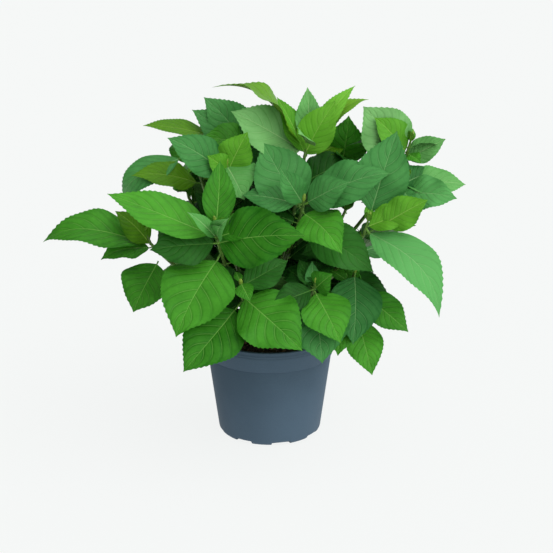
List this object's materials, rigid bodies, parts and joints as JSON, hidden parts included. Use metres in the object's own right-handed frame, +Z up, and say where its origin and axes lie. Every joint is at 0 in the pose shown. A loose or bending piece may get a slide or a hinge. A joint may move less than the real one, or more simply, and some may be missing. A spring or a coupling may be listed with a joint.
{
  "type": "potted hydrangea shrub",
  "caption": "Leafy hydrangea shrub with broad toothed leaves in opposite pairs on upright canes, standing in a round tapered nursery pot.",
  "frame": {"origin": "middle of the pot's flat underside, where it stands on the ground", "axes": "+Z up, -Y towards the front of the shrub, +X to the right seen from the front"},
  "size_m": [0.6339, 0.4911, 0.5459],
  "materials": {
    "pot_plastic": "satin",
    "potting_mix": "matte",
    "bark": "matte",
    "green_stem": "satin",
    "leaf_green": "satin",
    "leaf_cool": "satin",
    "leaf_young": "satin"
  },
  "bodies": {
    "root": {"pot": "pot_plastic", "potting_mix": "potting_mix", "leaves_crown": "leaf_young", "leaves_front_left": "leaf_green", "leaves_front_middle": "leaf_cool", "leaves_front_right": "leaf_green", "leaves_upper_left": "leaf_cool", "leaves_upper_back": "leaf_cool", "leaves_left_shoulder": "leaf_green", "leaves_far_left": "leaf_green", "leaves_right_shoulder": "leaf_green", "leaves_upper_right": "leaf_green", "leaves_far_right": "leaf_cool", "leaves_low_left": "leaf_green", "leaves_low_middle": "leaf_green", "leaves_low_right": "leaf_green", "leaves_back_left": "leaf_green", "leaves_back_middle": "leaf_green", "leaves_back_right": "leaf_green", "leaves_low_back_left": "leaf_green", "leaves_low_back_right": "leaf_green", "leaves_low_side": "leaf_green", "cane_left": "bark", "cane_right": "bark", "cane_middle": "bark", "cane_back_left": "bark", "cane_back_right": "bark", "bough_crown": "green_stem", "bough_front_left": "green_stem", "bough_front_middle": "green_stem", "bough_front_right": "green_stem", "bough_upper_left": "green_stem", "bough_upper_back": "green_stem", "bough_left_shoulder": "green_stem", "bough_far_left": "green_stem", "bough_right_shoulder": "green_stem", "bough_upper_right": "green_stem", "bough_far_right": "green_stem", "bough_low_left": "green_stem", "bough_low_middle": "green_stem", "bough_low_right": "green_stem", "bough_back_left": "green_stem", "bough_back_middle": "green_stem", "bough_back_right": "green_stem", "bough_low_back_left": "green_stem", "bough_low_back_right": "green_stem", "bough_low_side": "green_stem"}
  },
  "joints": []
}
